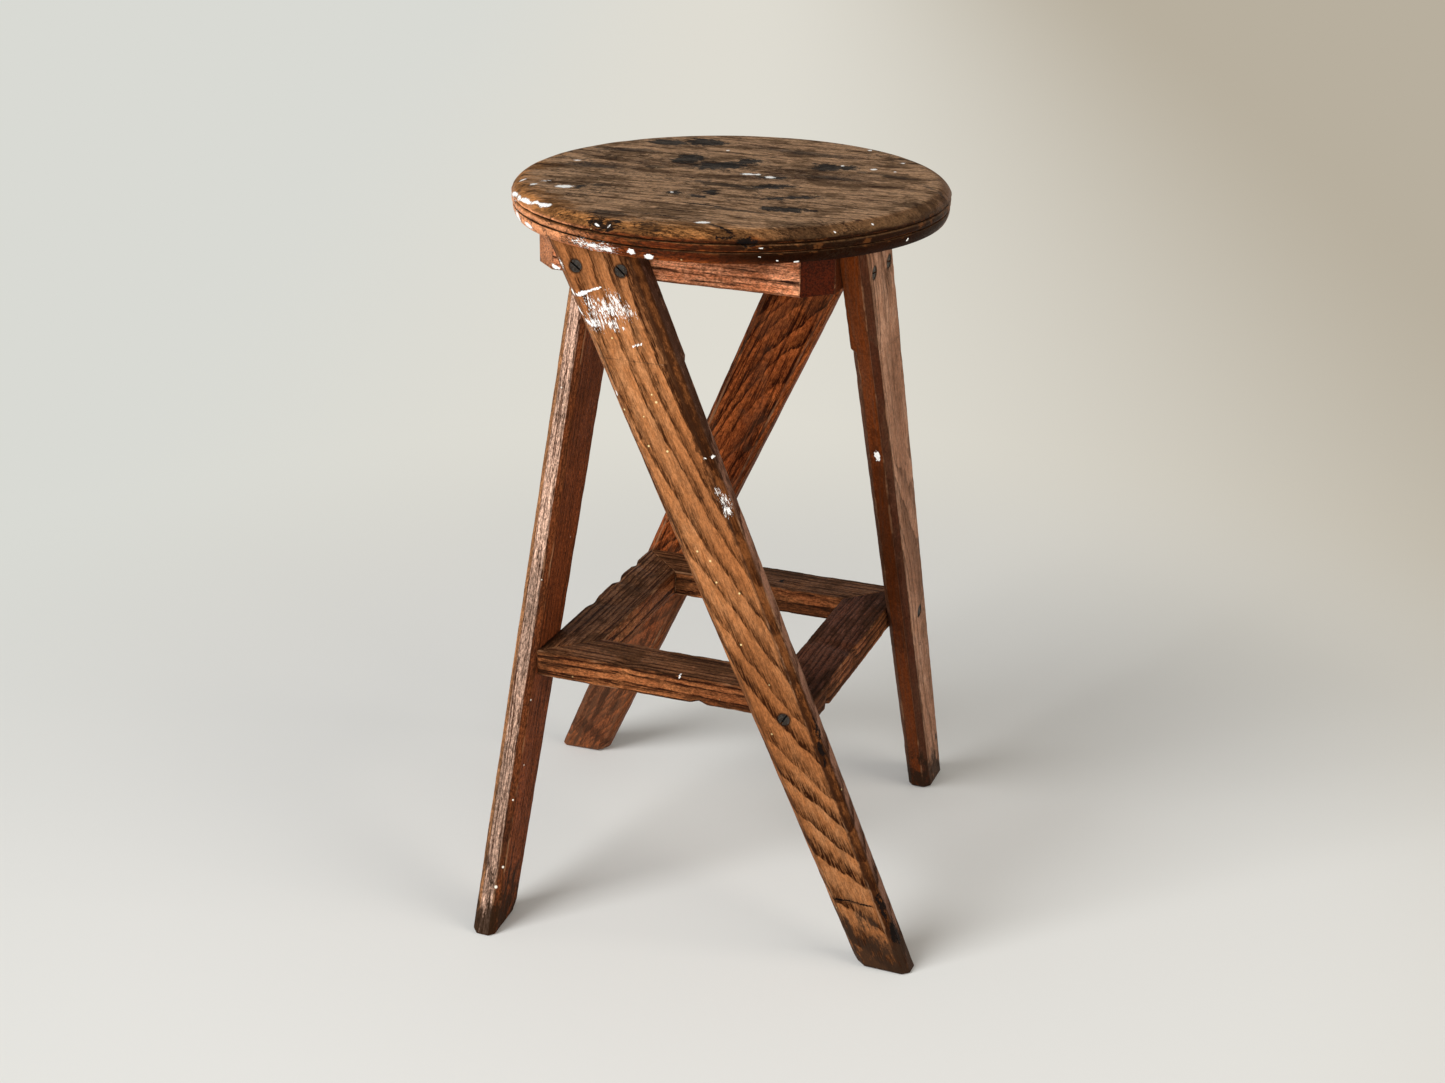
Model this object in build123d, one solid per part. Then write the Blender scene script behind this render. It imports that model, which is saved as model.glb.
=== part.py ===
from build123d import *
import math
import os

# Workshop stool: a round seat on a square upper frame, four slanting board legs and a mitred lower frame.
# Millimetres, +Z up, the origin on the floor below the middle of the seat, the front towards -Y.
# Each piece of a side is drawn at the front and turned about the vertical axis to the other sides.

# Overall sizes
stool_height = 610.0
seat_diameter = 352.0
frame_size = 245.0

# Seat edge, from the underside up
seat_thickness = 25.4
lower_bead_height = 8.2
lower_bead_setback = 3.0
lower_quirk_height = 1.4
upper_bead_height = 4.8
upper_quirk_height = 1.8
quirk_depth = 2.4
bead_setback = 0.7
lip_height = 1.0
round_over_width = 13.0

# Upper frame, two rails the full width of the frame and two between them
upper_rail_width = 42.0
upper_rail_height = 31.5
upper_corner_cut = 21.0

# Lower frame, four rails mitred at the corners
lower_rail_width = 42.5
lower_rail_height = 22.9
lower_frame_top = 224.0
rail_arris_radius = 1.5

# Legs: the middle of the top stands in from one corner of the frame, and the middle of the foot stands
# out past the other. Widths are taken level.
leg_thickness = 21.5
leg_top_inset = 60.5
leg_foot_reach = 72.5
leg_foot_width = 46.0
leg_top_width = 72.0
leg_outer_chamfer = 5.5
leg_inner_chamfer = 4.5
leg_top_gap = 0.4
foot_arris_chamfer = 1.2

# Slotted countersunk wood screws
screw_head_diameter = 10.0
screw_shank_diameter = 5.0
screw_head_angle = 82.0
screw_point_length = 8.0
screw_slot_width = 1.4
screw_slot_depth = 1.5
screw_head_sink = 0.4
screw_clearance = 0.1
# Slots as left by hand, turned a step further on each side
top_slot_angles = [-37.0, -42.0]
lower_slot_angles = [59.0]
seat_slot_angles = [14.0, 78.0]
slot_turn_per_side = 31.0

# Places of the screws
leg_screw_length = 45.0
leg_screw_spacing = 37.5
leg_screw_rise = 11.5
lower_screw_inset = 18.0
seat_screw_length = 44.0

# Places that follow from the sizes above
frame_half = frame_size / 2
seat_radius = seat_diameter / 2
seat_underside = stool_height - seat_thickness
upper_frame_bottom = seat_underside - upper_rail_height
leg_outer_face = frame_half + leg_thickness
leg_top_offset = leg_top_inset - frame_half
leg_foot_offset = leg_foot_reach + frame_half
leg_top = seat_underside - leg_top_gap
leg_screw_height = upper_frame_bottom + leg_screw_rise
lower_screw_height = lower_frame_top - lower_rail_height / 2
side_names = ["front", "right", "back", "left"]


def turned_to_side(shape, side):
    return Rot(0, 0, 90 * side) * shape


def leg_offset_at(height):
    return leg_foot_offset + (leg_top_offset - leg_foot_offset) * height / leg_top


def seat_blank():
    # The turned edge: a wide lower bead, a quirk, a small bead, a quirk and the rounded top edge.
    upper_bead_bottom = lower_bead_height + lower_quirk_height
    upper_bead_top = upper_bead_bottom + upper_bead_height
    lip_bottom = upper_bead_top + upper_quirk_height
    lip_top = lip_bottom + lip_height
    underside_radius = seat_radius - lower_bead_setback
    bead_radius = seat_radius - bead_setback
    groove_radius = bead_radius - quirk_depth
    lower_groove_height = lower_bead_height + lower_quirk_height / 2
    upper_groove_height = upper_bead_top + upper_quirk_height / 2
    upper_bead_middle = (upper_bead_bottom + upper_bead_top) / 2
    flat_radius = seat_radius - round_over_width
    with BuildLine() as outline:
        Line((0, 0), (underside_radius, 0))
        TangentArc((bead_radius, lower_bead_height), (underside_radius, 0), tangent=(0, -1))
        Polyline(
            (bead_radius, lower_bead_height),
            (groove_radius, lower_groove_height),
            (bead_radius, upper_bead_bottom),
        )
        ThreePointArc(
            (bead_radius, upper_bead_bottom),
            (seat_radius, upper_bead_middle),
            (bead_radius, upper_bead_top),
        )
        Polyline(
            (bead_radius, upper_bead_top),
            (groove_radius, upper_groove_height),
            (seat_radius, lip_bottom),
            (seat_radius, lip_top),
        )
        TangentArc((flat_radius, seat_thickness), (seat_radius, lip_top), tangent=(1, 0))
        Polyline((flat_radius, seat_thickness), (0, seat_thickness), (0, 0))
    section = Plane.XZ * make_face(outline.line)
    return Pos(0, 0, seat_underside) * revolve(section, Axis.Z)


def upper_through_rail():
    # A rail the full width of the frame, with the frame's corners cut off at 45 degrees.
    inner = upper_rail_width - frame_half
    plan = make_face(
        Polyline(
            (upper_corner_cut - frame_half, -frame_half),
            (frame_half - upper_corner_cut, -frame_half),
            (frame_half, upper_corner_cut - frame_half),
            (frame_half, inner),
            (-frame_half, inner),
            (-frame_half, upper_corner_cut - frame_half),
            close=True,
        )
    )
    return eased_upper_rail(Pos(0, 0, upper_frame_bottom) * extrude(plan, upper_rail_height))


def upper_between_rail():
    # A rail that fits between the two full-width rails.
    length = frame_size - 2 * upper_rail_width
    middle = (0, upper_rail_width / 2 - frame_half, upper_frame_bottom + upper_rail_height / 2)
    return eased_upper_rail(Pos(middle) * Box(length, upper_rail_width, upper_rail_height))


def eased_upper_rail(rail):
    # The long lower arris on the outside is rounded off.
    lower_edges = rail.edges().filter_by(Axis.X).group_by(Axis.Z)[0]
    return fillet(lower_edges.sort_by(Axis.Y)[0], rail_arris_radius)


def lower_rail():
    # A board with rounded arrises, cut to a mitre at both ends.
    section_middle = (
        -frame_half,
        lower_rail_width / 2 - frame_half,
        lower_frame_top - lower_rail_height / 2,
    )
    section_plane = Plane(origin=section_middle, x_dir=(0, 1, 0), z_dir=(1, 0, 0))
    section = section_plane * RectangleRounded(lower_rail_width, lower_rail_height, rail_arris_radius)
    board = extrude(section, frame_size)
    mitred_plan = make_face(
        Polyline(
            (-frame_half, -frame_half),
            (frame_half, -frame_half),
            (frame_half - lower_rail_width, lower_rail_width - frame_half),
            (lower_rail_width - frame_half, lower_rail_width - frame_half),
            close=True,
        )
    )
    return board & extrude(mitred_plan, lower_frame_top)


def leg_blank():
    # A tapered board on the outside of the frames, cut level at the floor and under the seat,
    # with its four long arrises chamfered and its foot eased.
    outline = Polyline(
        (leg_foot_offset - leg_foot_width / 2, 0),
        (leg_foot_offset + leg_foot_width / 2, 0),
        (leg_top_offset + leg_top_width / 2, leg_top),
        (leg_top_offset - leg_top_width / 2, leg_top),
        close=True,
    )
    inner_plane = Plane.XZ.offset(frame_half)
    leg = extrude(inner_plane * make_face(outline), leg_thickness)
    leg = chamfer(long_edges(leg).group_by(Axis.Y)[0], leg_outer_chamfer)
    leg = chamfer(long_edges(leg).group_by(Axis.Y)[-1], leg_inner_chamfer)
    return chamfer(leg.faces().sort_by(Axis.Z)[0].edges(), foot_arris_chamfer)


def long_edges(leg):
    return leg.edges().filter_by(lambda edge: edge.length > leg_top)


def screw_outline(length, clearance, access):
    # Half section about the axis: the head's flat at zero, the shank and point below it.
    # A hole for the screw is the same outline, wider by the clearance and open above the head.
    head_radius = screw_head_diameter / 2 + clearance
    shank_radius = screw_shank_diameter / 2 + clearance
    slope = math.tan(math.radians(screw_head_angle / 2))
    head_height = (head_radius - shank_radius) / slope
    corners = [
        (0, access),
        (head_radius, access),
        (shank_radius, -head_height),
        (shank_radius, screw_point_length - length),
        (0, -length - clearance),
    ]
    if access:
        corners.insert(2, (head_radius, 0))
    return make_face(Polyline(*corners, close=True))


def screw(length, slot_angle):
    body = revolve(Plane.XZ * screw_outline(length, 0, 0), Axis.Z)
    slot = Box(2 * screw_head_diameter, screw_slot_width, 2 * screw_slot_depth)
    return body - Rot(0, 0, slot_angle) * slot


def screw_hole(length):
    access = 2 * screw_head_sink + screw_head_diameter
    return revolve(Plane.XZ * screw_outline(length, screw_clearance, access), Axis.Z)


def leg_screw_plane(offset, height):
    origin = (offset, screw_head_sink - leg_outer_face, height)
    return Plane(origin=origin, x_dir=(1, 0, 0), z_dir=(0, -1, 0))


def seat_screw_plane(offset):
    origin = (offset, upper_rail_width / 2 - frame_half, upper_frame_bottom + screw_head_sink)
    return Plane(origin=origin, x_dir=(1, 0, 0), z_dir=(0, 0, -1))


# The screw places on the front side
leg_screw_middle = leg_offset_at(leg_screw_height)
top_planes = [
    leg_screw_plane(leg_screw_middle + step * leg_screw_spacing / 2, leg_screw_height) for step in (-1, 1)
]
lower_plane = leg_screw_plane(frame_half - lower_screw_inset, lower_screw_height)
# One seat screw stands between the leg's two screws, and the other mirrors it.
seat_planes = [seat_screw_plane(step * leg_screw_middle) for step in (1, -1)]

top_holes = [plane * screw_hole(leg_screw_length) for plane in top_planes]
lower_hole = lower_plane * screw_hole(leg_screw_length)
seat_holes = [plane * screw_hole(seat_screw_length) for plane in seat_planes]

nodes = {}

# Seat, bored from below for its screws
seat = seat_blank()
for side in range(len(side_names)):
    for hole in seat_holes:
        seat -= turned_to_side(hole, side)
nodes["seat"] = seat

# Rails and legs, one of each to a side
upper_rails = [upper_through_rail(), upper_between_rail()]
leg = leg_blank() - top_holes - lower_hole
for side, name in enumerate(side_names):
    upper_rail = upper_rails[side % 2] - top_holes - seat_holes
    # The lower screw of the side before reaches through the mitre into this rail.
    lower_rail_bored = lower_rail() - lower_hole - turned_to_side(lower_hole, -1)
    nodes["upper_rail_" + name] = turned_to_side(upper_rail, side)
    nodes["lower_rail_" + name] = turned_to_side(lower_rail_bored, side)
    nodes["leg_" + name] = turned_to_side(leg, side)

# Screws, each slot left at its own angle
for side, name in enumerate(side_names):
    groups = {
        "leg_top_screws_" + name: (top_planes, leg_screw_length, top_slot_angles),
        "lower_frame_screw_" + name: ([lower_plane], leg_screw_length, lower_slot_angles),
        "seat_screws_" + name: (seat_planes, seat_screw_length, seat_slot_angles),
    }
    for node, (planes, length, slot_angles) in groups.items():
        screws = []
        for plane, slot_angle in zip(planes, slot_angles):
            slotted = plane * screw(length, slot_angle + side * slot_turn_per_side)
            screws.append(turned_to_side(slotted, side))
        nodes[node] = Compound(children=screws) if len(screws) > 1 else screws[0]

os.makedirs("parts", exist_ok=True)
for node, shape in nodes.items():
    export_step(shape, "parts/" + node + ".step")
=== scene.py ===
from math import cos, hypot, pi, radians, sin

import bmesh
import bpy
from mathutils import Matrix, Vector


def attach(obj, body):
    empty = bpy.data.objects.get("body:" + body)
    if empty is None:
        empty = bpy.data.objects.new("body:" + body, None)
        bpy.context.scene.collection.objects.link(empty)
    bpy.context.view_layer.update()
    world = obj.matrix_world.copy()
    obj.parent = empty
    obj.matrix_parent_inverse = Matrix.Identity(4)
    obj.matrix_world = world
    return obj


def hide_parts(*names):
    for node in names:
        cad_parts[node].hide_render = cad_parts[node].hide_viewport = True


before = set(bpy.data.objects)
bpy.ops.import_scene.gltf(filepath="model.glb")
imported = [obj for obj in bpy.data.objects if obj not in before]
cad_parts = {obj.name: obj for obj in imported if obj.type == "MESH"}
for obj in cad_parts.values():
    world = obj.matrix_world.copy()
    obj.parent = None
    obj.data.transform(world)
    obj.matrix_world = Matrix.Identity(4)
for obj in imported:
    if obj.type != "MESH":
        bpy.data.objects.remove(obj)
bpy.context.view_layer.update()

scene = bpy.context.scene
scene.view_settings.view_transform = 'Standard'
sideNames = ["front", "right", "back", "left"]  # each a quarter turn on from the one before
hair = 0.0001  # what is nearer than this is in the same plane
nearby = 0.001


# small helpers for selecting, shaping and wearing a piece

def selectOnly(piece):
    bpy.ops.object.select_all(action='DESELECT')
    piece.select_set(True)
    bpy.context.view_layer.objects.active = piece


def openForEdit(piece):
    selectOnly(piece)
    bpy.ops.object.mode_set(mode='EDIT')
    bpy.ops.mesh.select_mode(type='VERT')
    bpy.ops.mesh.select_all(action='DESELECT')


def closeEdit():
    bpy.ops.object.mode_set(mode='OBJECT')


def pick(kind, test):
    mesh = bpy.context.edit_object.data
    bpy.ops.mesh.select_mode(type=kind)
    bpy.ops.mesh.select_all(action='DESELECT')
    work = bmesh.from_edit_mesh(mesh)
    for part in {'VERT': work.verts, 'EDGE': work.edges, 'FACE': work.faces}[kind]:
        part.select = test(part)
    work.select_flush_mode()
    bmesh.update_edit_mesh(mesh)


def pickVerts(test):
    pick('VERT', lambda vert: test(vert.co))


def pickEdges(test):
    pick('EDGE', lambda edge: test(edge.verts[0].co, edge.verts[1].co))


def newest(name):
    # the object just made
    piece = bpy.context.active_object
    piece.name = name
    piece.data.name = name
    return piece


def addBlock(name, middle, size):
    bpy.ops.mesh.primitive_cube_add(size=1, location=middle, scale=size)
    bpy.ops.object.transform_apply()
    return newest(name)


def chamferEdges(width, segments=1, clamp=False):
    bpy.ops.mesh.bevel(offset=width, segments=segments, affect='EDGES', clamp_overlap=clamp)


def markArris(piece):
    # remembers what is selected, for the wear and for the finish
    if "arris" not in piece.vertex_groups:
        piece.vertex_groups.new(name="arris")
        piece.data.attributes.new("arris", 'FLOAT', 'POINT')
    piece.vertex_groups.active = piece.vertex_groups["arris"]
    piece.data.attributes.active = piece.data.attributes["arris"]
    scene.tool_settings.vertex_group_weight = 1.0
    bpy.ops.object.vertex_group_assign()
    bpy.ops.mesh.attribute_set(value_float=1.0)


def roundArris(piece, width):
    # rounds the selected edges over and marks the round
    chamferEdges(width, segments=4)
    bpy.ops.mesh.select_mode(type='VERT')
    markArris(piece)


def insetFaces(width, least, steepest=2.0):
    # a line along the rims of faces of at least this area, where the marks of the arris fade out
    pick('FACE', lambda face: face.calc_area() > least and abs(face.normal.z) < steepest)
    bpy.ops.mesh.inset(thickness=width, depth=0, use_individual=True)
    bpy.ops.mesh.select_mode(type='VERT')
    bpy.ops.object.vertex_group_remove_from()
    bpy.ops.mesh.attribute_set(value_float=0.0)


def applyOn(piece, modifier):
    selectOnly(piece)
    bpy.ops.object.modifier_apply(modifier=modifier)


def wearAway(piece, depth, size, contrast=2.5, level=0.75, group="arris"):
    # takes wood off by a cloudy pattern, never adding any
    cloud = bpy.data.textures.new(piece.name + "Wear", 'CLOUDS')
    cloud.noise_scale = size
    cloud.noise_depth = 2
    cloud.contrast = contrast
    cloud.intensity = level
    cloud.use_clamp = True
    wear = piece.modifiers.new("wear", 'DISPLACE')
    wear.texture = cloud
    wear.texture_coords = 'LOCAL'
    wear.vertex_group = group
    wear.mid_level = 0
    wear.strength = -depth
    applyOn(piece, "wear")


def pressIn(piece, dents):
    # dents and chips: the nearest point is pushed, and its neighbours follow
    openForEdit(piece)
    for place, push, reach in dents:
        spot = Vector(place)
        mesh = bpy.context.edit_object.data
        work = bmesh.from_edit_mesh(mesh)
        nearest = min(work.verts, key=lambda vert: (vert.co - spot).length)
        bpy.ops.mesh.select_all(action='DESELECT')
        nearest.select = True
        bmesh.update_edit_mesh(mesh)
        bpy.ops.transform.translate(value=push, use_proportional_edit=True,
                                    proportional_edit_falloff='SMOOTH', proportional_size=reach)
    closeEdit()


def cutAway(piece, cutter):
    cut = piece.modifiers.new("cut", 'BOOLEAN')
    cut.operation = 'DIFFERENCE'
    cut.solver = 'EXACT'
    cut.object = cutter
    applyOn(piece, "cut")
    bpy.data.objects.remove(cutter, do_unlink=True)


def boreFor(piece, places, outward, width=0.0102, depth=0.0026):
    # round recesses in which the screw heads sit
    turn = Vector(outward).to_track_quat('Z', 'Y').to_euler()
    for place in places:
        bpy.ops.mesh.primitive_cylinder_add(vertices=40, radius=width / 2, depth=2 * depth,
                                            location=place, rotation=turn)
        cutAway(piece, bpy.context.active_object)


def splitIn(piece, splits, outward):
    # narrow splits that taper to both ends
    up = Vector(outward)
    for start, end, width, depth in splits:
        along = Vector(end) - Vector(start)
        x = along.normalized()
        turn = Matrix((x, up.cross(x), up)).transposed().to_euler()
        bpy.ops.mesh.primitive_uv_sphere_add(segments=12, ring_count=8, radius=0.5, rotation=turn,
                                             location=(Vector(start) + Vector(end)) / 2)
        cutter = bpy.context.active_object
        cutter.scale = (along.length, width, 2 * depth)
        cutAway(piece, cutter)


def turned(place, quarters):
    return Matrix.Rotation(quarters * pi / 2, 3, 'Z') @ Vector(place)


def copyTurned(source, name, quarters):
    # a copy with its own mesh, turned about the stool's upright axis
    selectOnly(source)
    bpy.ops.object.duplicate(linked=False)
    piece = newest(name)
    piece.rotation_euler = (0, 0, quarters * pi / 2)
    bpy.ops.object.transform_apply()
    return piece


def finishPiece(piece, node, angle=32):
    selectOnly(piece)
    bpy.ops.object.shade_smooth_by_angle(angle=radians(angle))
    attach(piece, "root")
    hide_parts(node)


def wornCopies(blank, kind, shape, bores=(), outward=(0, -1, 0), sides=range(4)):
    # a copy for each side, worn and dented in its own way
    pieces = {}
    for quarters in sides:
        side = sideNames[quarters]
        piece = copyTurned(blank, kind + side + "_worn", quarters)
        wearAway(piece, *shape["wear"])
        if "chips" in shape:
            wearAway(piece, *shape["chips"], contrast=4, level=0.35)
        pressIn(piece, shape.get("dents", {}).get(side, []))
        face = turned(outward, quarters)
        splitIn(piece, shape.get("splits", {}).get(side, []), face)
        boreFor(piece, [turned(place, quarters) for place in bores], face)
        finishPiece(piece, kind + side)
        pieces[side] = piece
    bpy.data.objects.remove(blank, do_unlink=True)
    return pieces


# camera, at the photograph's viewing angle

cameraLook = {
    "target": (-0.0040, 0.0, 0.2950),  # the point at the middle of the picture
    "distance": 1.8832,
    "azimuth": 20.76,  # degrees round from the front
    "elevation": 21.99,
    "roll": 0.71,
    "lens": 54.89,
}


def addCamera():
    look = cameraLook
    turn = radians(look["azimuth"])
    rise = radians(look["elevation"])
    away = Vector((sin(turn) * cos(rise), -cos(turn) * cos(rise), sin(rise)))
    bpy.ops.object.camera_add()
    camera = newest("stoolCamera")
    camera.data.lens = look["lens"]
    aim = away.to_track_quat('Z', 'Y').to_matrix().to_4x4()
    place = Matrix.Translation(Vector(look["target"]) + away * look["distance"])
    camera.matrix_world = place @ aim @ Matrix.Rotation(radians(look["roll"]), 4, 'Z')
    scene.camera = camera


addCamera()
print("camera set")


# legs: slanting tapered boards with their long arrises chamfered

legShape = {
    "footMiddle": 0.195,  # along the side, at the floor
    "footWidth": 0.046,
    "topMiddle": -0.062,
    "topWidth": 0.072,
    "height": 0.5842,
    "innerFace": 0.1225,
    "thickness": 0.0215,
    "outerChamfer": 0.0055,
    "innerChamfer": 0.0045,
    "stop": 0.4945,  # the inner chamfers end at this height
    "runOut": 0.010,
    "arris": 0.0008,  # how far the corners are rubbed round
    "footEase": 0.0024,
    "topEase": 0.0005,
    "rim": 0.0016,  # how far from the corners their dirt reaches
    "rings": 200,  # cuts across the length, for the wear
    "wear": (0.0003, 0.009),  # depth and size of the pattern
    "chips": (0.0003, 0.030),
    "screws": [(-0.07213, 0.5646), (-0.03463, 0.5646), (0.1045, 0.21255)],  # along the side, and up
    "dents": {  # place, push and reach
        "front": [((0.172, -0.144, 0.001), (0.002, 0, 0.002), 0.008),
                  ((0.1345, -0.1405, 0.194), (-0.001, 0.001, 0), 0.010)],
        "right": [((0.1235, -0.0480, 0.470), (0.0006, 0.0012, 0), 0.010)],
        "back": [((-0.172, 0.1225, 0.001), (-0.003, 0, 0.003), 0.010)],
        "left": [((-0.1225, -0.181, 0.006), (-0.002, 0.0015, 0.003), 0.008)],
    },
    "splits": {  # start, end, width and depth
        "front": [((0.1487, -0.144, 0.0598), (0.1700, -0.144, 0.0583), 0.0008, 0.0012),
                  ((0.1655, -0.144, 0.0590), (0.1850, -0.144, 0.0583), 0.0007, 0.0010)],
    },
}


def makeLeg():
    shape = legShape
    inner = shape["innerFace"]
    outer = inner + shape["thickness"]
    high = shape["height"]
    longRun, anyRun = 0.3, 0.05  # least rise of edges up to the stop, and of those above it too
    leg = addBlock("legBlank", (0, -(inner + outer) / 2, high / 2),
                   (shape["footWidth"], shape["thickness"], high))
    openForEdit(leg)
    pickVerts(lambda p: p.z < high / 2)
    bpy.ops.transform.translate(value=(shape["footMiddle"], 0, 0))
    pickVerts(lambda p: p.z > high / 2)
    bpy.ops.transform.translate(value=(shape["topMiddle"], 0, 0))
    bpy.ops.transform.resize(value=(shape["topWidth"] / shape["footWidth"], 1, 1),
                             center_override=(shape["topMiddle"], 0, 0))
    pickEdges(lambda a, b: abs(a.z - b.z) > longRun and a.y < nearby - outer)
    chamferEdges(shape["outerChamfer"])
    bpy.ops.mesh.select_all(action='SELECT')
    bpy.ops.mesh.bisect(plane_co=(0, 0, shape["stop"]), plane_no=(0, 0, 1))
    pickEdges(lambda a, b: abs(a.z - b.z) > longRun and a.y > -nearby - inner)
    chamferEdges(shape["innerChamfer"])
    # the ends of those chamfers run out along the corners
    for side in (-1, 1):
        foot = shape["footMiddle"] + side * shape["footWidth"] / 2
        slope = (shape["topMiddle"] + side * shape["topWidth"] / 2 - foot) / high
        corner = Vector((foot + slope * shape["stop"], -inner, shape["stop"]))
        pickVerts(lambda p: (p - corner).length < nearby / 2)
        bpy.ops.transform.translate(value=(slope * shape["runOut"], 0, shape["runOut"]))
    pickEdges(lambda a, b: abs(a.z - b.z) > anyRun)
    roundArris(leg, shape["arris"])
    pickEdges(lambda a, b: max(a.z, b.z) < hair)
    roundArris(leg, shape["footEase"])
    pickEdges(lambda a, b: min(a.z, b.z) > high - hair)
    chamferEdges(shape["topEase"], segments=2)
    insetFaces(shape["rim"], least=0.0005, steepest=0.9)  # not the ends
    pickEdges(lambda a, b: abs(a.z - b.z) > longRun)
    bpy.ops.mesh.subdivide(number_cuts=shape["rings"])
    pickEdges(lambda a, b: abs(a.z - b.z) > anyRun)
    bpy.ops.mesh.subdivide(number_cuts=shape["rings"] // 6)
    closeEdit()
    return leg


def makeLegs():
    outer = legShape["innerFace"] + legShape["thickness"]
    bores = [(sideways, -outer, height) for sideways, height in legShape["screws"]]
    return wornCopies(makeLeg(), "leg_", legShape, bores)


legs = makeLegs()
print("legs made")


# lower frame: four rails mitred at the corners

lowerRailShape = {
    "half": 0.1225,
    "width": 0.0425,
    "height": 0.0229,
    "top": 0.224,
    "arris": 0.0013,
    "mitreEase": 0.0004,
    "rim": 0.0018,
    "rings": 90,
    "wear": (0.0003, 0.008),
    "chips": (0.0005, 0.022),
    "dents": {
        "front": [((0.022, -0.1225, 0.2012), (0, 0.0015, 0.002), 0.008),
                  ((-0.045, -0.1225, 0.2236), (0, 0.0012, -0.0014), 0.012)],
        "right": [((0.1225, -0.088, 0.2016), (-0.0022, 0, 0.0022), 0.007),
                  ((0.1225, -0.020, 0.2236), (-0.0016, 0, -0.0014), 0.014)],
        "back": [((0.030, 0.080, 0.2236), (0, 0.001, -0.0012), 0.010)],
        "left": [((-0.1225, 0.045, 0.2236), (0.0026, 0, -0.0018), 0.012),
                 ((-0.1225, 0.085, 0.2236), (0.0018, 0, -0.0016), 0.009),
                 ((-0.1225, -0.010, 0.2236), (0.0016, 0, -0.0012), 0.015)],
    },
}


def makeLowerRails():
    shape = lowerRailShape
    middle = shape["half"] - shape["width"] / 2
    reach = shape["half"] - shape["width"]  # half the length of the inner side
    endRun = 0.05  # the edges of the mitres run less than this
    blank = addBlock("lowerRailBlank", (0, -middle, shape["top"] - shape["height"] / 2),
                     (2 * shape["half"], shape["width"], shape["height"]))
    openForEdit(blank)
    pickVerts(lambda p: p.y > -middle)
    bpy.ops.transform.resize(value=(reach / shape["half"], 1, 1), center_override=(0, 0, 0))
    pickEdges(lambda a, b: abs(a.x - b.x) > reach)
    roundArris(blank, shape["arris"])
    pickEdges(lambda a, b: abs(a.x - b.x) < endRun and min(abs(a.x), abs(b.x)) > reach - 2 * nearby)
    chamferEdges(shape["mitreEase"], clamp=True)
    insetFaces(shape["rim"], least=0.002)
    pickEdges(lambda a, b: abs(a.x - b.x) > reach)
    bpy.ops.mesh.subdivide(number_cuts=shape["rings"])
    closeEdit()
    return wornCopies(blank, "lower_rail_", shape)


lowerRails = makeLowerRails()
print("lower frame made")


# upper frame: two rails the full width with cut corners, and two between them

upperRailShape = {
    "half": 0.1225,
    "width": 0.042,
    "height": 0.0315,
    "bottom": 0.5531,
    "cornerCut": 0.021,
    "lowerArris": 0.0015,
    "arris": 0.0006,
    "rim": 0.0016,
    "rings": 80,
    "wear": (0.0003, 0.008),
    "seatScrew": 0.05338,  # from the middle, to both sides
}


def makeUpperRail(length, cutCorners):
    shape = upperRailShape
    middle = shape["half"] - shape["width"] / 2
    upright, longRun = 0.02, 0.1  # least rise of an upright edge, and least run of a long one
    blank = addBlock("upperRailBlank", (0, -middle, shape["bottom"] + shape["height"] / 2),
                     (length, shape["width"], shape["height"]))
    openForEdit(blank)
    if cutCorners:
        pickEdges(lambda a, b: abs(a.z - b.z) > upright and a.y < -middle)
        chamferEdges(shape["cornerCut"])
    low, front = shape["bottom"] + nearby, nearby - shape["half"]
    pickEdges(lambda a, b: max(a.z, b.z) < low and max(a.y, b.y) < front)
    roundArris(blank, shape["lowerArris"])
    pickEdges(lambda a, b: abs(a.z - b.z) > upright)
    roundArris(blank, shape["arris"])
    insetFaces(shape["rim"], least=0.0005)
    pickEdges(lambda a, b: abs(a.x - b.x) > longRun)
    bpy.ops.mesh.subdivide(number_cuts=shape["rings"])
    closeEdit()
    return blank


def makeUpperRails():
    shape = upperRailShape
    middle = shape["half"] - shape["width"] / 2
    bores = [(step * shape["seatScrew"], -middle, shape["bottom"]) for step in (-1, 1)]
    rails = {}
    for first, length in ((0, 2 * shape["half"]), (1, 2 * (shape["half"] - shape["width"]))):
        blank = makeUpperRail(length, cutCorners=first == 0)
        rails.update(wornCopies(blank, "upper_rail_", shape, bores, outward=(0, 0, -1),
                                sides=(first, first + 2)))
    return rails


upperRails = makeUpperRails()
print("upper frame made")


# seat: a turned disc with two beads under a rounded top edge

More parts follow.
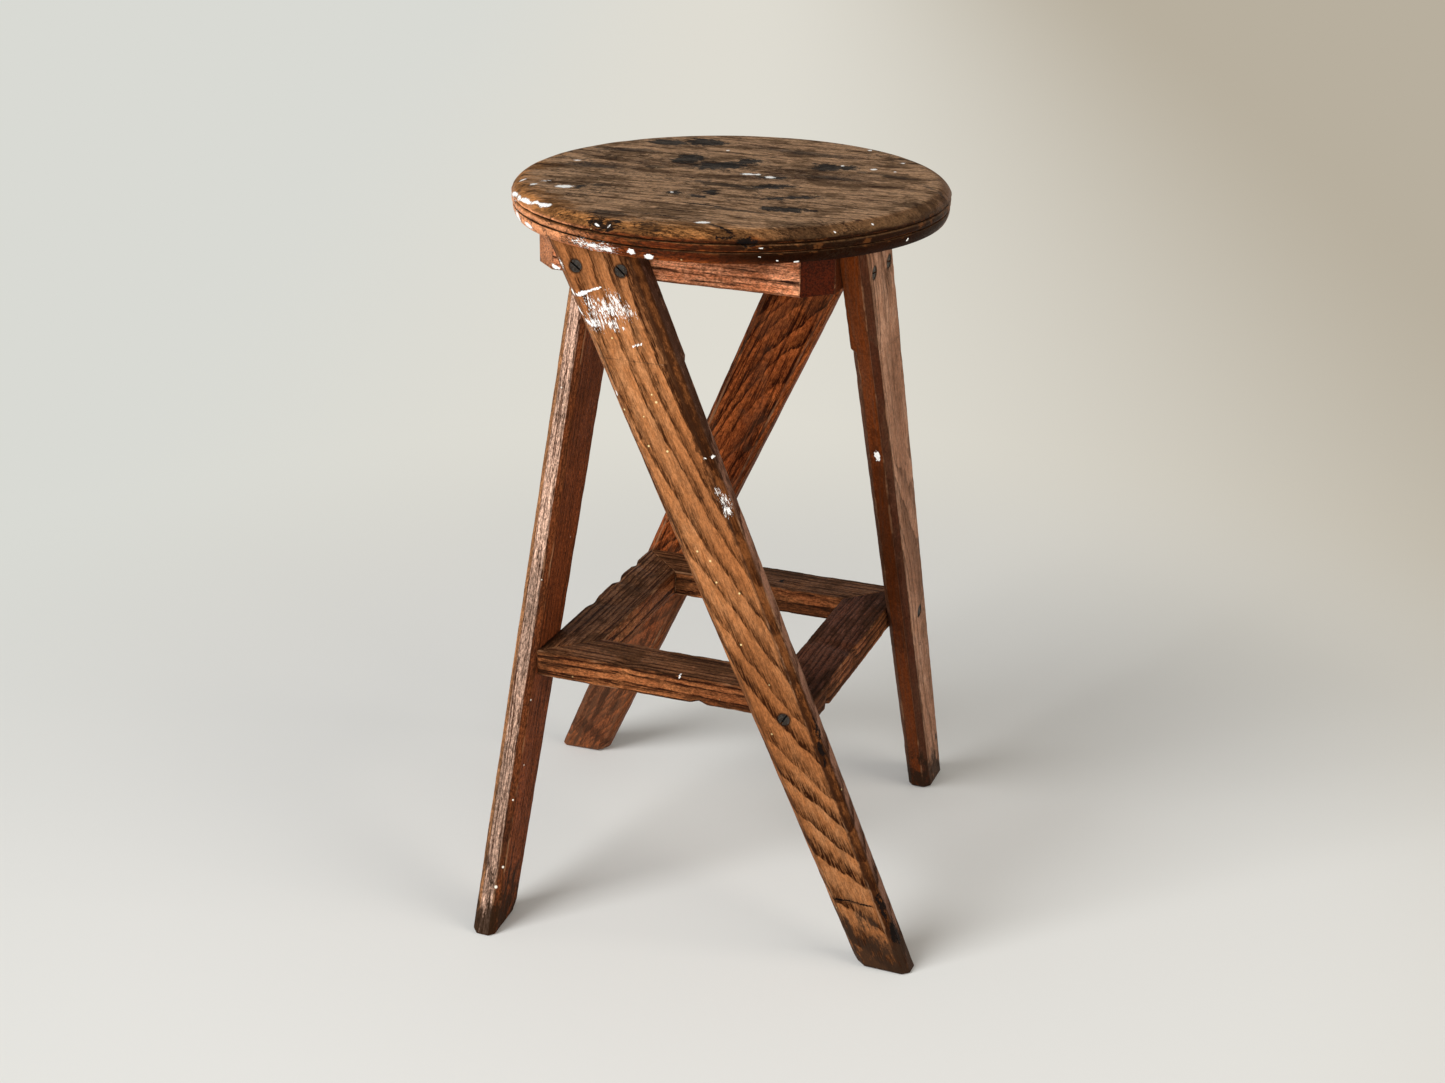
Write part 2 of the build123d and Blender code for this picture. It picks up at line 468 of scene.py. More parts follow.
seatShape = {
    "underside": 0.5846,
    "thickness": 0.0254,
    # the half section in millimetres; arcs are middle, radius, first and last angle, and pieces
    "undersideReach": (173, 12),  # radius, and pieces
    "lowerBead": ((159.53, 8.2), 15.77, -31.3, 0, 7),
    "lowerQuirk": [(174.6, 8.45), (173.0, 8.85), (173.0, 8.95), (174.6, 9.35)],
    "upperBead": ((171.54, 12.0), 4.46, -32.6, 32.6, 7),
    "upperQuirk": [(174.4, 14.75), (173.0, 15.2), (173.0, 15.4), (174.6, 15.85), (175.8, 16.15),
                   (176, 16.5), (176, 17.0)],
    "roundOver": ((163, 11.0), 14.4, 25.5, 90, 14),
    "topReach": (163, 22),
    "steps": 320,
    # what is picked out for wear and dirt, and the quirks for dirt and painted shade: distances from the
    # axis, and heights above the underside
    "beadsFrom": (0.1749, 0.006),
    "quirks": (0.1728, 0.1747, 0.0083, 0.016),
    "topDepth": 0.004,
    "wear": (0.0005, 0.012),
    "hollows": (0.0006, 0.05),  # worn in the top
    "dents": [((-0.0371, -0.1690, 0.6055), (0, 0.0016, -0.0022), 0.008),
              ((0.0585, -0.1624, 0.6063), (0, 0.001, -0.0012), 0.005),
              ((0.0739, -0.1597, 0.6019), (-0.0006, 0.0014, -0.001), 0.007),
              ((-0.120, -0.125, 0.6050), (0.0008, 0.0008, -0.0010), 0.012)],
    "splits": [((-0.0213, -0.1213, 0.6098), (0.0547, -0.1187, 0.6098), 0.0007, 0.0016),
               ((-0.0100, -0.0952, 0.6098), (0.0340, -0.0968, 0.6098), 0.0008, 0.0016),
               ((0.0802, -0.0563, 0.6098), (0.1398, -0.0637, 0.6098), 0.0007, 0.0016),
               ((-0.0539, 0.0856, 0.6098), (0.0139, 0.0904, 0.6098), 0.0008, 0.0016)],
}


def arcPoints(middle, radius, first, last, pieces):
    angles = [radians(first + (last - first) * i / pieces) for i in range(pieces + 1)]
    return [(middle[0] + radius * cos(angle), middle[1] + radius * sin(angle)) for angle in angles]


def seatProfile():
    # from the middle of the underside to the middle of the top
    shape = seatShape
    reach, pieces = shape["undersideReach"]
    points = [(reach * i / pieces, 0) for i in range(pieces)]
    points += arcPoints(*shape["lowerBead"]) + shape["lowerQuirk"]
    points += arcPoints(*shape["upperBead"]) + shape["upperQuirk"]
    points += arcPoints(*shape["roundOver"])
    reach, pieces = shape["topReach"]
    points += [(reach * (1 - i / pieces), shape["thickness"] * 1000) for i in range(1, pieces + 1)]
    return points


def makeSeat():
    shape = seatShape
    low = shape["underside"]
    bpy.ops.mesh.primitive_plane_add(size=0.01, location=(0, 0, low))
    bpy.ops.object.transform_apply()
    seat = newest("seat_worn")
    openForEdit(seat)
    bpy.ops.mesh.select_all(action='SELECT')
    bpy.ops.mesh.merge(type='CENTER')
    profile = seatProfile()
    for before, after in zip(profile, profile[1:]):
        step = ((after[0] - before[0]) / 1000, 0, (after[1] - before[1]) / 1000)
        bpy.ops.mesh.extrude_region_move(TRANSFORM_OT_translate={"value": step})
    bpy.ops.mesh.select_all(action='SELECT')
    bpy.ops.mesh.spin(steps=shape["steps"], angle=2 * pi, center=(0, 0, 0), axis=(0, 0, 1))
    bpy.ops.mesh.select_all(action='SELECT')
    bpy.ops.mesh.remove_doubles(threshold=hair / 5)
    bpy.ops.mesh.normals_make_consistent(inside=False)
    reach, rise = shape["beadsFrom"]
    pickVerts(lambda p: hypot(p.x, p.y) > reach and p.z > low + rise)
    markArris(seat)
    seat.data.attributes.new("groove", 'FLOAT', 'POINT')
    seat.data.attributes.active = seat.data.attributes["groove"]
    inner, outer, bottom, top = shape["quirks"]
    pickVerts(lambda p: inner < hypot(p.x, p.y) < outer and low + bottom < p.z < low + top)
    bpy.ops.mesh.attribute_set(value_float=1.0)
    seat.vertex_groups.new(name="top")
    seat.vertex_groups.active = seat.vertex_groups["top"]
    pickVerts(lambda p: p.z > low + shape["thickness"] - shape["topDepth"])
    bpy.ops.object.vertex_group_assign()
    closeEdit()
    wearAway(seat, *shape["wear"])
    wearAway(seat, *shape["hollows"], contrast=2, level=0.5, group="top")
    pressIn(seat, shape["dents"])
    splitIn(seat, shape["splits"], (0, 0, 1))
    finishPiece(seat, "seat", angle=38)
    return seat


seat = makeSeat()
print("seat made")


# helpers for the finishes, which add their nodes to the tree that was started last

def startTree(owner):
    global tree
    owner.use_nodes = True
    tree = owner.node_tree


def plug(value, socket):
    if isinstance(value, bpy.types.NodeSocket):
        tree.links.new(value, socket)
    else:
        socket.default_value = value


def addNode(kind, inputs=None, **settings):
    node = tree.nodes.new('ShaderNode' + kind)
    for key, value in settings.items():
        setattr(node, key, value)
    for key, value in (inputs or {}).items():
        plug(value, node.inputs[key])
    return node


def sums(operation, first, second=0.0, third=0.0, clamp=False):
    values = {0: first, 1: second, 2: third}
    return addNode('Math', values, operation=operation, use_clamp=clamp).outputs[0]


def times(first, second):
    return sums('MULTIPLY', first, second)


def onto(value, factor, base, clamp=False):
    # so much of a value added to another
    return sums('MULTIPLY_ADD', value, factor, base, clamp)


def vectorSums(operation, first, second=(0, 0, 0)):
    node = addNode('VectorMath', {0: first, 1: second}, operation=operation)
    return node.outputs["Value" if operation in ('LENGTH', 'DOT_PRODUCT') else "Vector"]


def toward(facing, direction):
    return vectorSums('DOT_PRODUCT', facing, tuple(Vector(direction).normalized()))


def axisOf(vector, axis):
    return addNode('SeparateXYZ', {0: vector}).outputs[axis]


def mapped(vector, place=(0, 0, 0), turn=(0, 0, 0), size=(1, 1, 1)):
    # a place as measured from another, which is turned and has its own scale
    return addNode('Mapping', {"Vector": vector, "Location": place, "Rotation": turn, "Scale": size},
                   vector_type='TEXTURE').outputs[0]


def between(value, low, high, first=0.0, last=1.0):
    # soft step from one value to another
    return addNode('MapRange', {"Value": value, "From Min": low, "From Max": high, "To Min": first,
                                "To Max": last}, interpolation_type='SMOOTHSTEP').outputs["Result"]


def noise(vector, scale=1.0, detail=2.0, rough=0.5, dimensions='3D', out="Fac"):
    node = addNode('TexNoise', {"Scale": scale, "Detail": detail, "Roughness": rough},
                   noise_dimensions=dimensions)
    plug(vector, node.inputs["W" if dimensions == '1D' else "Vector"])
    return node.outputs[out]


def mixTone(factor, first, second):
    return addNode('Mix', {0: factor, 6: first, 7: second}, data_type='RGBA').outputs[2]


def shade(colour, amount):
    node = addNode('VectorMath', {0: colour, "Scale": amount}, operation='SCALE')
    return node.outputs["Vector"]


def shapeOf(value, stops):
    # a drawn curve as grey levels
    node = addNode('ValToRGB', {"Fac": value})
    ramp = node.color_ramp
    while len(ramp.elements) < len(stops):
        ramp.elements.new(0.5)
    for element, (place, level) in zip(ramp.elements, stops):
        element.position = place
        element.color = (level, level, level, 1)
    return node.outputs["Color"]


def tone(red, green, blue):
    # a colour as read off a picture, 0 to 255
    parts = [level / 255 for level in (red, green, blue)]
    return tuple(part / 12.92 if part <= 0.04045 else ((part + 0.055) / 1.055) ** 2.4
                 for part in parts) + (1.0,)


def boardTurn(along, across):
    # turns a pattern so that its Z runs along the grain and its X across the board
    z = Vector(along).normalized()
    y = z.cross(Vector(across)).normalized()
    return Matrix((y.cross(z), y, z)).transposed().to_euler()


def onFace(level, depth, rows):
    # spots that lie at one level: place across and along, half sizes, and turn
    return [((x, level, z), (wide, depth, long), turn) for x, z, wide, long, turn in rows]


def spotMask(board, spots, rough=0.0, soft=0.10):
    # patches: each has a place and half sizes in board millimetres, and a turn in the face
    whole = 0.0
    for place, size, turn in spots:
        local = mapped(board, place, (0, radians(turn), 0), tuple(2 * half for half in size))
        near = addNode('TexGradient', {"Vector": local}, gradient_type='SPHERICAL').outputs["Fac"]
        whole = sums('MAXIMUM', whole, near)
    return between(sums('ADD', whole, rough), 0.5 - soft / 2, 0.5 + soft / 2)


def newFinish(name):
    material = bpy.data.materials.new(name)
    startTree(material)
    return material, tree.nodes["Principled BSDF"], addNode('TexCoord').outputs["Object"]


def setSurface(shader, values):
    for socket, value in values.items():
        plug(value, shader.inputs[socket])


def coverWith(piece, material):
    piece.data.materials.clear()
    piece.data.materials.append(material)


# oak, cut from the solid: rings about a pith, dark porous spring growth, fine pores along the grain

grainNoise = {  # repeats in a millimetre across and along the grain, detail and roughness
    "drift": (0.009, 0.0045, 1.5, 0.5), "fray": (0.12, 0.035, 3, 0.5), "pores": (0.75, 0.09, 3, 0.65),
    "fine": (1.5, 0.1, 2, 0.6), "lines": (0.36, 0.012, 4, 0.7), "dashes": (0.2, 0.045, 5, 0.75),
    "speckle": (0.7, 0.3, 3, 0.8), "mottle": (0.13, 0.05, 4, 0.7), "broad": (0.016, 0.006, 2, 0.5),
    "patch": (0.035, 0.018, 5, 0.7), "crazing": (0.07, 0.03, 5, 0.65), "rubbed": (0.08, 0.015, 4, 0.75),
    "ragged": (0.4, 0.4, 3, 0.7), "frayed": (0.16, 0.06, 5, 0.75), "crumb": (0.6, 0.4, 3, 0.75),
    "lumps": (0.22, 0.13, 4, 0.7), "strokes": (1.1, 0.25, 3, 0.8),
}

oakBase = {
    "seed": (0, 0, 0),  # shifts every pattern
    "pith": (0, 60, 0), "tilt": (0, 0, 0),  # where the tree's heart lies from the board, and its lean
    "curve": (0, 0), "curveFrom": 0,  # how the tree bends, and the place along the board where it starts
    "ring": 7.0, "uneven": 1.6, "rings": 1.0, "band": 0.32, "bandDepth": 0.5,  # a year's width and dark part
    "wave": 14.0, "fray": 2.4,  # how far the rings wander, in millimetres
    "lineLength": 0.012, "lines": 0.4, "dashes": 0, "flecks": 0.35, "speckle": 0.42,  # fine marks
    "late": tone(196, 124, 64), "lateWarm": tone(170, 100, 46), "lateDeep": tone(146, 82, 34),
    "spring": tone(48, 22, 7), "bare": tone(204, 152, 112), "dirt": tone(38, 24, 14),
    "edgeWear": 0.35, "edgeDirt": 0.5, "film": 0.4, "dirtTop": 0.05, "dirtAmount": 0.93,
    "lowShade": (1.0, 0.4),  # brightness at the floor, and the height where it ends
    "rough": 0.30, "shine": 0.03, "sheenTone": (1.0, 0.75, 0.5, 1), "coat": 0.0, "relief": 0.6, "polish": 0,
    "groove": 0, "grooveTone": tone(34, 16, 8), "crazing": 0,
    "plain": None,  # the way a face looks that shows few lines
    # faces: painted light and shade, with each face's own colour
    "faces": [],  # the way a face looks, from and to how nearly, tone and amount
    "rim": None,  # inner and outer radius, direction, tone and amount
    "bores": [], "streaks": [], "stains": [], "cracks": [], "specks": [], "paint": [], "smears": [],
    "dots": 0.7, "speckTone": tone(220, 196, 140), "streakAmount": 0.7, "streakTone": tone(26, 20, 17),
    "stainAndShadeTone": tone(12, 11, 12), "paintAndHighlightTone": tone(240, 240, 238),
}


def oakFinish(name, look):
    material, shader, place = newFinish(name)
    turn = boardTurn(look["along"], look["across"])
    board = mapped(place, look["middle"], turn, (0.001, 0.001, 0.001))  # in millimetres
    shifted = vectorSums('ADD', board, look["seed"])

    def grain(kind, out="Fac", along=None):
        across, usual, detail, rough = grainNoise[kind]
        scaled = vectorSums('MULTIPLY', shifted, (across, across, along or usual))
        return noise(scaled, detail=detail, rough=rough, out=out)

    def swing(kind, reach):
        return times(sums('SUBTRACT', grain(kind), 0.5), reach)

    def wander(start, kind, reach):
        offset = vectorSums('SUBTRACT', grain(kind, "Color"), (0.5, 0.5, 0.5))
        return vectorSums('ADD', start, vectorSums('MULTIPLY', offset, reach))

    def mark(kind, toneName, start, rim=0.0, soft=0.10, amount=None, lift=None):
        nonlocal colour, height
        if look[kind]:
            mask = spotMask(start, look[kind], rim, soft)
            mask = times(mask, amount) if amount else mask
            colour = mixTone(mask, colour, look[toneName])
            height = onto(mask, lift, height) if lift else height

    # the grain drifts slowly and frays at a finer scale
    bent = wander(board, "drift", (look["wave"], look["wave"], 0))
    bent = wander(bent, "fray", (look["fray"], look["fray"], 0))
    # the tree's own curve grows with the square of the distance along the board
    curve = times(sums('SUBTRACT', axisOf(board, "Z"), look["curveFrom"]), 0.01)
    curve = times(curve, curve)
    curve = {axis: times(curve, bend) for axis, bend in enumerate(look["curve"])}
    bent = vectorSums('ADD', bent, addNode('CombineXYZ', curve).outputs[0])
    pith = mapped(bent, look["pith"], tuple(radians(angle) for angle in look["tilt"]))
    away = vectorSums('LENGTH', vectorSums('MULTIPLY', pith, (1, 1, 0)))
    rings = sums('DIVIDE', away, look["ring"])
    uneven = noise(times(rings, 0.55), detail=1, dimensions='1D')
    rings = onto(uneven, look["uneven"], rings)
    year = addNode('TexWhiteNoise', {"W": sums('FLOOR', rings)}, noise_dimensions='1D')
    band, depth = look["band"], look["bandDepth"]
    spring = shapeOf(sums('FRACT', rings), [
        (0.0, 1.0), (0.12, 1.0), (0.18, 0.25 + 0.95 * depth), (band, depth), (band + 0.2, 0.04), (0.96, 0.03),
        (1.0, 1.0)])
    strength = between(year.outputs["Value"], 0.0, 1.0, 0.6 * look["rings"], look["rings"])
    spring = times(spring, strength)

    # pores, fine dark lines and flecks along the grain
    pores = between(grain("pores"), 0.44, 0.53)
    lines = between(grain("lines", along=look["lineLength"]), 0.51, 0.60)
    speckle = between(grain("speckle"), 0.38, 0.62)
    mottle = grain("mottle")
    broad = grain("broad")
    patch = grain("patch")
    dark = times(spring, onto(pores, 0.55, 0.6))
    dark = onto(lines, look["lines"], dark)
    if look["dashes"]:
        dark = onto(between(grain("dashes"), 0.54, 0.60), look["dashes"], dark)
    dark = onto(between(grain("fine"), 0.53, 0.63), look["flecks"], dark, clamp=True)
    late = mixTone(between(mottle, 0.38, 0.62), look["late"], look["lateWarm"])
    late = mixTone(between(broad, 0.40, 0.60), late, look["lateDeep"])

    # painted light and shade: faces told apart by the way they face get their own tone, lighter where the
    # light falls and darker on the sides in shade, mixed with the face's own colour
    facing = mapped(addNode('NewGeometry').outputs["Normal"], turn=turn)
    endOn = sums('ABSOLUTE', toward(facing, (0, 0, 1)))
    upright = toward(facing, (0, 1, 0))
    dark = times(dark, between(endOn, 0.15, 0.6, 1.0, 0.35))  # end grain shows no lines
    if look["plain"]:
        plain = toward(facing, look["plain"])
        dark = times(dark, between(plain, 0.8, 0.96, 1.0, 0.4))
    for direction, low, high, faceLightAndShadeTone, amount in look["faces"]:
        mask = between(toward(facing, direction), low, high)
        late = mixTone(times(mask, amount), late, faceLightAndShadeTone)
    if look["rim"]:  # another colour towards the edge of a round piece, on one side of it
        inner, outer, direction, rimTone, amount = look["rim"]
        flat = vectorSums('MULTIPLY', board, (1, 0, 1))
        out = onto(sums('SUBTRACT', patch, 0.5), 110.0, vectorSums('LENGTH', flat))
        side = toward(vectorSums('NORMALIZE', flat), direction)
        mask = times(between(out, inner, outer), between(side, 0.25, 0.7))
        mask = times(mask, between(axisOf(board, "Y"), 4.0, 7.0))
        late = mixTone(times(mask, amount), late, rimTone)
    colour = mixTone(dark, late, look["spring"])
    colour = shade(colour, onto(speckle, 2 * look["speckle"], 1 - look["speckle"]))
    height = onto(speckle, 0.25, times(dark, -0.6))
    rough = onto(mottle, 0.3, look["rough"])
    rough = onto(dark, 0.14, rough)
    if look["polish"]:  # edges handled bright
        rough = sums('SUBTRACT', rough, between(upright, 0.9, 0.5, 0.0, look["polish"]))

    # a film of old dirt in patches
    film = times(between(patch, 0.48, 0.57), look["film"])
    if look["rim"]:  # only on top
        film = times(film, between(upright, 0.2, 0.6, 0.25, 1.0))
    colour = mixTone(film, colour, look["dirt"])
    rough = onto(film, 0.25, rough)

    # fine wandering cracks, only here and there
    if look["crazing"]:
        ridge = sums('ABSOLUTE', sums('SUBTRACT', grain("crazing"), 0.5))
        ridge = times(between(ridge, 0.024, 0.006), between(broad, 0.44, 0.54))
        ridge = times(ridge, look["crazing"])
        colour = mixTone(ridge, colour, look["dirt"])
        height = onto(ridge, -0.8, height)

    # arrises: dirt has caught along them, and the wood is bare where they are rubbed
    arris = addNode('Attribute', attribute_name="arris").outputs["Fac"]
    dirty = times(between(onto(mottle, 2.2, arris), 1.5, 2.1), arris)
    bare = between(onto(grain("rubbed"), 2.4, arris), 2.26, 2.5)
    colour = mixTone(times(dirty, look["edgeDirt"]), colour, look["dirt"])
    colour = mixTone(times(bare, look["edgeWear"]), colour, look["bare"])
    # dirt and painted shade: the quirks between the beads darker
    if look["groove"]:
        groove = addNode('Attribute', attribute_name="groove").outputs["Fac"]
        groove = times(between(groove, 0.1, 0.9), look["groove"])
        colour = mixTone(groove, colour, look["grooveTone"])

    # dirt from the floor, thickest at the foot
    up = axisOf(place, "Z")
    level = onto(sums('SUBTRACT', mottle, 0.5), 0.2, up)
    low = between(level, look["dirtTop"], 0.3 * look["dirtTop"])
    colour = mixTone(times(low, look["dirtAmount"]), colour, look["dirt"])
    # the colour scaled with height: darker towards the floor on the front leg, and on the back leg lighter
    # there, which is painted shade on its top
    brightness, top = look["lowShade"]
    colour = shade(colour, between(up, 0.0, top, brightness, 1.0))
    # painted shade: the insides of the screw holes darkened
    mark("bores", "stainAndShadeTone", board, soft=0.2, amount=0.85)

    # streaks, stains and paint, in that order, all with ragged rims; a streak on the front leg is painted
    # shade, and some white on the seat's lower bead is a painted highlight
    ragged = wander(board, "ragged", (4.0, 2.0, 4.0))
    frayed = wander(board, "frayed", (14.0, 0, 34.0))
    crumb = swing("crumb", 0.9)
    lumps = swing("lumps", 1.3)
    mark("streaks", "streakTone", frayed, lumps, 0.35, look["streakAmount"])
    mark("stains", "stainAndShadeTone", frayed, lumps, amount=0.94, lift=-0.5)
    mark("cracks", "stainAndShadeTone", ragged, crumb, 0.3, lift=-2.0)
    mark("specks", "speckTone", board, soft=0.3)
    cells = vectorSums('MULTIPLY', shifted, (0.05, 0.05, 0.05))
    dots = addNode('TexVoronoi', {"Vector": cells, "Scale": 1.0}).outputs
    chosen = addNode('SeparateColor', {0: dots["Color"]}).outputs[0]
    mask = times(between(dots["Distance"], 0.045, 0.03), between(chosen, 0.6, 0.62))
    colour = mixTone(times(mask, look["dots"]), colour, look["speckTone"])
    mark("paint", "paintAndHighlightTone", ragged, crumb, lift=1.4)
    if look["smears"]:  # brushed on, so broken into strokes; on the seat's lower bead partly a painted highlight
        swept = spotMask(ragged, look["smears"], soft=0.9)
        mask = between(onto(swept, 0.19, grain("strokes")), 0.66, 0.70)
        mask = times(mask, between(swept, 0.1, 0.3))
        colour = mixTone(mask, colour, look["paintAndHighlightTone"])
        height = onto(mask, 0.7, height)

    bump = addNode('Bump', {"Height": height, "Strength": look["relief"], "Distance": 0.0006})
    setSurface(shader, {"Base Color": colour, "Roughness": rough, "Normal": bump.outputs[0],
                        "Specular IOR Level": look["shine"], "Specular Tint": look["sheenTone"],
                        "Coat Weight": look["coat"], "Coat Roughness": 0.3})
    return material


# legs, each board with its own grain; across runs to the right seen from outside, y inwards, z up the leg

legLooks = {
    "front": {
        "pith": (-260, 150, 0), "ring": 13, "uneven": 0.5, "wave": 22, "fray": 6.5, "seed": (11, 3, 40),
        "band": 0.38, "bandDepth": 0.58, "lowShade": (0.7, 0.4), "curve": (-6.7, 0), "curveFrom": 250,
        "lines": 0.2, "flecks": 0.3, "film": 0.12, "speckle": 0.24, "dirt": tone(56, 40, 30),
        "dirtTop": 0.046, "dirtAmount": 0.92, "late": tone(182, 124, 80), "lateWarm": tone(168, 108, 64),
        "lateDeep": tone(154, 96, 55),
        # painted shade: the right chamfer, the right edge and the inner face darker, as in shade
        "faces": [
            ((1, -1, 0), 0.9, 0.98, tone(108, 62, 30), 0.9),
            ((1, 0, 0), 0.9, 0.98, tone(136, 100, 84), 0.85),
            ((0, 1, 0), 0.9, 0.98, tone(150, 90, 56), 0.8),
        ],
        "streaks": [
            ((24.5, -9, 190), (3.6, 4, 120), 1), ((20.5, -9.5, -120), (1.4, 3, 100), 1),
            ((25, -6, -120), (1.2, 3, 90), 1), ((19, -9.5, -255), (1.6, 3, 50), 1),
            # the first streak on the next line is painted shade: the right edge darker near the top, under
            # the seat
            ((33, 0, 215), (4.5, 10, 110), 1), ((-27, -9, 150), (1, 6, 130), -1),
        ],
        "streakTone": tone(44, 22, 10), "streakAmount": 0.8,
        "cracks": [((-9.6, -10.7, -250.1), (9.2, 4, 0.9), 20), ((5.2, -10.7, -256.9), (9.6, 4, 0.7), 26)],
        "stains": [
            ((24.4, -6, -103), (1.2, 3, 7), 0), ((22.6, -8, -120), (1.4, 4, 10), 5),
            ((21, -4.2, -288), (2.5, 5, 10), 0), ((20, -7, -262), (1.4, 4, 12), 4),
        ],
        "specks": onFace(-10.7, 2, [
            (2.3, 193, 0.7, 0.7, 0), (3.4, 186.3, 1, 0.9, 0), (-17.1, 155.4, 0.8, 0.8, 0),
            (-3.6, 147, 0.9, 0.9, 0), (-11.4, 178.6, 0.6, 0.6, 0), (-12.3, 63.8, 0.8, 0.8, 0),
            (-4.9, 53.5, 0.9, 0.9, 0), (-6.9, 35.4, 0.8, 0.8, 0), (8.3, 21.9, 0.8, 0.8, 0),
            (-7.5, -19.1, 0.8, 0.8, 0), (-11.2, 244.2, 0.7, 0.7, 0),
        ]) + [
            ((-25.1, -10.4, 188.5), (0.8, 2, 0.8), 0),
        ],
        "paint": onFace(-10.7, 4, [
            (-20.5, 284.1, 5.6, 1.8, 1), (-10.5, 283.9, 6.8, 0.9, 1), (-24.5, 260.7, 4.4, 1.2, 63),
            (1.1, 248, 1.1, 0.8, 52), (4.1, 232.9, 1.6, 0.6, -29), (7.3, 232.7, 1.4, 0.6, -35),
            (10, 232.4, 1.2, 0.7, -44),
        ]) + [
            ((-28.8, -8.5, 287.1), (3.4, 4, 0.9), 80), ((-29.7, -7.4, 271.8), (4.4, 4, 1.2), 67),
            ((28.7, -6.2, 131.8), (1.2, 4, 0.9), -18), ((24.4, -10.6, 132.9), (0.9, 4, 0.6), 43),
            ((-26.4, -9.3, 202), (2.2, 4, 0.8), 102),
        ],
        "smears": onFace(-10.7, 4, [
            (3, 271, 8, 5.5, 58), (8.2, 262.1, 10, 4.4, 53), (-11, 264.4, 16, 4.6, 19),
            (-18.6, 259.5, 10, 6, 33), (-7.4, 253.8, 9, 3.8, 39), (-17.5, 273.2, 9, 4, 83),
            (-4, 266, 17, 7, 35),
        ]) + [
            ((-28.3, -9.5, 310.4), (4.2, 4, 2.2), 90), ((24.4, -10, 103), (5, 4, 2.2), 88),
            ((25.9, -8.4, 95.5), (6.4, 4, 3.6), 73), ((24.9, -9.2, 88.6), (6, 4, 3), 86),
        ],
    },
    "right": {
        "pith": (14, 52, 0), "tilt": (2, -1.5, 0), "ring": 4.5, "wave": 34, "plain": (-1, -0.4, 0),
        "speckle": 0.24, "film": 0.15, "seed": (210, 83, 20), "late": tone(180, 138, 112),
        "lateWarm": tone(160, 116, 90), "lateDeep": tone(140, 98, 74), "spring": tone(80, 54, 39),
        "rings": 0.8, "dots": 0.2, "edgeWear": 0.2, "edgeDirt": 0.3,
        "faces": [
            ((-1, 0, 0), 0.85, 0.97, tone(94, 39, 4), 0.97),
            ((-1, -1, 0), 0.9, 0.98, tone(56, 19, 4), 0.95), ((-1, 1, 0), 0.9, 0.98, tone(70, 30, 8), 0.9),
        ],
        "streaks": [((-28, 0, 20), (7, 9, 120), -1)],
        "streakTone": tone(36, 12, 2), "streakAmount": 0.5,
        "stains": [((-3.2, -10.7, -123.8), (1.6, 4, 1.3), 75)],
        "paint": [((-29.1, -0.4, 125.6), (5.4, 2.3, 1.8), 89)],
    },
    "back": {
        "pith": (-50, -150, 0), "ring": 3.6, "wave": 20, "curve": (0, -2), "curveFrom": 420, "band": 0.45,
        "seed": (60, 310, 90), "late": tone(164, 88, 44), "lateWarm": tone(140, 71, 34),
        # painted shade: lighter towards the floor, so the top is darker, as in the seat's shade
        "lateDeep": tone(117, 57, 27), "lowShade": (1.25, 0.6), "spring": tone(40, 14, 5), "dots": 0,
        "edgeWear": 0.2, "speckle": 0.46, "dirt": tone(84, 58, 42), "dirtTop": 0.26, "dirtAmount": 0.5,
        "film": 0.25, "lines": 0.65, "lineLength": 0.008,
        "streaks": onFace(10, 6, [
            (-9, -215, 2.2, 80, 0), (3, -250, 2.6, 60, 0), (14, -205, 2.2, 90, 0),
        ]) + [
            ((0, 10, -296), (26, 8, 6), 0),
        ],
        "streakTone": tone(44, 28, 20), "streakAmount": 0.6,
    },
    "left": {
        "pith": (70, 70, 0), "tilt": (0.5, 0.8, 0), "ring": 2.6, "rings": 0.7, "wave": 8, "film": 0.25,
        "seed": (7, 95, 160), "lines": 0.6, "late": tone(178, 112, 70), "lateWarm": tone(156, 90, 52),
        "lateDeep": tone(134, 72, 40), "spring": tone(66, 36, 22), "speckle": 0.5, "flecks": 0.6,
        "edgeWear": 0.3, "edgeDirt": 0.25,
        # painted light and shade: the front edge lighter and pinkish, partly a painted sheen, and the inner
        # chamfer and inner face darker, as in shade
        "faces": [
            ((1, 0, 0), 0.9, 0.98, tone(208, 172, 150), 0.9),
            ((1, 1, 0), 0.9, 0.98, tone(104, 54, 28), 0.9),
            ((1, -1, 0), 0.9, 0.98, tone(184, 132, 88), 0.8),
            ((0, 1, 0), 0.9, 0.98, tone(124, 62, 32), 0.9),
        ],
        "streaks": [((22, 0, -230), (6, 12, 70), 1), ((25, 1, -60), (6, 6, 60), 1)],
        "streakAmount": 0.4, "speckTone": tone(236, 230, 216),
        "specks": [
            ((21.5, 6.6, -286), (1.3, 1.3, 1.3), 0), ((19.3, 9.1, -268.8), (1, 1, 1), 0),
            ((20.4, 9.1, -211.9), (0.8, 0.8, 0.8), 0), ((12.8, 10.7, -182.3), (0.8, 0.8, 0.8), 0),
            ((19.5, 10.7, -126.9), (0.8, 0.8, 0.8), 0),
        ],
    },
}


def finishSides(name, pieces, shared, looks, middle, along, across):
    for quarters, side in enumerate(sideNames):
        look = {**oakBase, **shared, **looks[side], "middle": turned(middle, quarters),
                "along": turned(along, quarters), "across": turned(across, quarters)}
        coverWith(pieces[side], oakFinish(name + "Oak_" + side, look))


def finishLegs():
    shape = legShape
    high = shape["height"]
    lean = shape["topMiddle"] - shape["footMiddle"]
    middle = (shape["footMiddle"] + lean / 2, -shape["innerFace"] - shape["thickness"] / 2, high / 2)
    # painted shade in the screw holes: their insides darkened
    bores = onFace(-10.7, 3, [(-17.2, 305.3, 6, 6, 0), (17.2, 290.2, 6, 6, 0), (2.75, -88.1, 6, 6, 0)])
    finishSides("leg", legs, {"bores": bores}, legLooks, middle, (lean, 0, high), (high, 0, -lean))


finishLegs()
print("legs finished")


# rails: across is up, y outwards, z along the rail to the right

